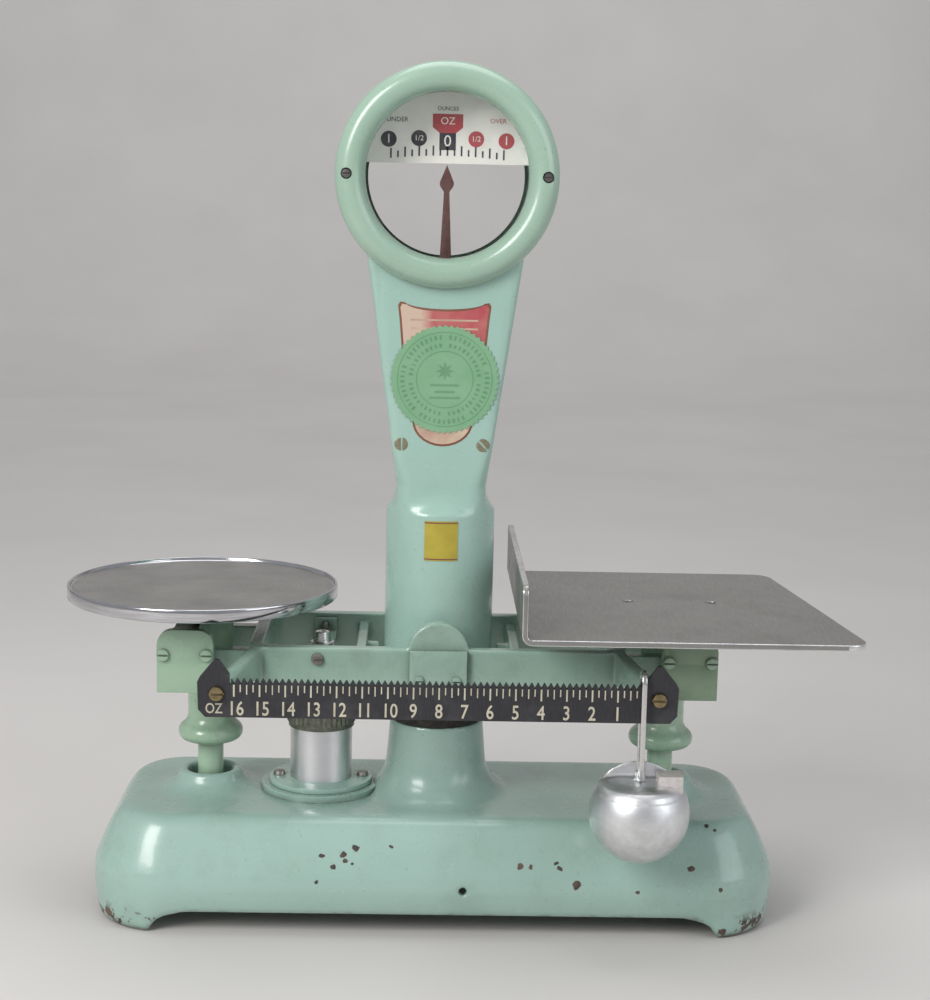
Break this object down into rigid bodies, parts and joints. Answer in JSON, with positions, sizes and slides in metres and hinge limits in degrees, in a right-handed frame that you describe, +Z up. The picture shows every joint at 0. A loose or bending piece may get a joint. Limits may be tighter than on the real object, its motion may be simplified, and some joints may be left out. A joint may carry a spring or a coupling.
{
  "type": "counter balance",
  "caption": "Equal-arm counter balance with a round pan, an angled scoop, a see-through over-and-under head, one graduated beam and a hanging ball poise.",
  "frame": {"origin": "on the table, under the middle of the base", "axes": "+X to the scoop's side, +Y to the back, +Z up"},
  "size_m": [0.4717, 0.2205, 0.5121],
  "materials": {
    "base_paint": "glossy enamel over iron, chipped",
    "tower_paint": "glossy enamel",
    "lever_paint": "glossy enamel, worn at the edges",
    "bare_stem": "bare, dull",
    "plain_steel": "plain, slightly tarnished",
    "bright_steel": "bright",
    "glass": "clear",
    "chart": "printed card colour, matte",
    "red_label": "printed label",
    "green_label": "printed foil label",
    "yellow_label": "printed label",
    "damper_metal": "turned, bright",
    "damper_cap": "knurled, dark",
    "pointer": "red-brown lacquer",
    "black_beam": "black, fine wear",
    "black_iron": "dark cast iron",
    "pan_steel": "polished rim, worn grey floor",
    "scoop_aluminium": "worn, brushed",
    "poise_aluminium": "bright, polished by handling"
  },
  "bodies": {
    "frame": {"base_casting": "base_paint", "fulcrum_stand": "plain_steel", "fulcrum_bearings": "plain_steel", "stand_screws": "plain_steel", "tower_housing": "tower_paint", "tower_rear_cover": "tower_paint", "front_bezel": "tower_paint", "rear_bezel": "tower_paint", "front_glass": "glass", "rear_glass": "glass", "bezel_screws": "plain_steel", "neck_screws": "plain_steel", "dial_chart": "chart", "shield_label": "red_label", "round_seal": "green_label", "sleeve_label": "yellow_label", "damper_cup": "damper_metal", "damper_cap": "damper_cap", "damper_screws": "plain_steel", "check_bracket": "lever_paint", "bracket_screws": "plain_steel", "check_pin": "plain_steel"},
    "lever": {"lever_frame": "lever_paint", "fulcrum_knife": "plain_steel", "front_fulcrum_cover": "lever_paint", "rear_fulcrum_cover": "lever_paint", "left_knives": "plain_steel", "right_knives": "plain_steel", "pointer": "pointer", "graduated_beam": "black_beam", "beam_screws": "bright_steel", "damper_bar": "plain_steel", "rail_screws": "plain_steel"},
    "left_side": {"left_hanger": "lever_paint", "left_stem": "lever_paint", "left_bearings": "plain_steel", "left_front_cover": "lever_paint", "left_rear_cover": "lever_paint", "left_cover_screws": "lever_paint", "left_spider": "black_iron", "left_spider_screws": "plain_steel", "left_link_pin": "plain_steel"},
    "right_side": {"right_hanger": "lever_paint", "right_stem": "lever_paint", "right_bearings": "plain_steel", "right_front_cover": "lever_paint", "right_rear_cover": "lever_paint", "right_cover_screws": "lever_paint", "right_spider": "black_iron", "right_spider_screws": "plain_steel", "right_link_pin": "plain_steel"},
    "left_pan": {"round_pan": "pan_steel"},
    "right_pan": {"scoop_pan": "scoop_aluminium"},
    "check_bar": {"check_link": "plain_steel"},
    "plunger": {"damper_plunger": "plain_steel", "damper_nut": "bright_steel"},
    "stirrup": {"poise_stirrup": "bright_steel"},
    "poise": {"poise_ball": "poise_aluminium", "poise_plug": "bare_stem"}
  },
  "joints": [
    {"name": "lever_rock", "type": "hinge", "parent": "frame", "child": "lever", "pos_m": [0, 0, 0.166], "axis": [0, 1, 0], "range_deg": [-7, 7]},
    {"name": "left_hanger_pivot", "type": "hinge", "parent": "lever", "child": "left_side", "pos_m": [-0.15, 0, 0.166], "axis": [0, 1, 0], "range_deg": [-7.05, 7.05]},
    {"name": "right_hanger_pivot", "type": "hinge", "parent": "lever", "child": "right_side", "pos_m": [0.15, 0, 0.166], "axis": [0, 1, 0], "range_deg": [-7.05, 7.05]},
    {"name": "check_link_pivot", "type": "hinge", "parent": "frame", "child": "check_bar", "pos_m": [0, 0, 0.028], "axis": [0, 1, 0], "range_deg": [-7.05, 7.05]},
    {"name": "damper_slide", "type": "slide", "parent": "frame", "child": "plunger", "axis": [0, 0, 1], "range_m": [-0.0088, 0.0088]},
    {"name": "poise_slide", "type": "slide", "parent": "lever", "child": "stirrup", "axis": [-1, 0, 0], "range_m": [0, 0.2331]},
    {"name": "poise_swing", "type": "hinge", "parent": "stirrup", "child": "poise", "pos_m": [0.1168, -0.09925, 0.108], "axis": [0, 1, 0], "range_deg": [-25, 25]},
    {"name": "round_pan_lift", "type": "slide", "parent": "left_side", "child": "left_pan", "axis": [0, 0, 1], "range_m": [0, 0.05]},
    {"name": "scoop_lift", "type": "slide", "parent": "right_side", "child": "right_pan", "axis": [0, 0, 1], "range_m": [0, 0.05]}
  ],
  "couplings": [
    {"joint": "left_hanger_pivot", "follows": "lever_rock", "ratio": -1},
    {"joint": "right_hanger_pivot", "follows": "lever_rock", "ratio": -1},
    {"joint": "check_link_pivot", "follows": "lever_rock", "ratio": 1},
    {"joint": "damper_slide", "follows": "lever_rock", "m_per_rad": 0.0716}
  ]
}
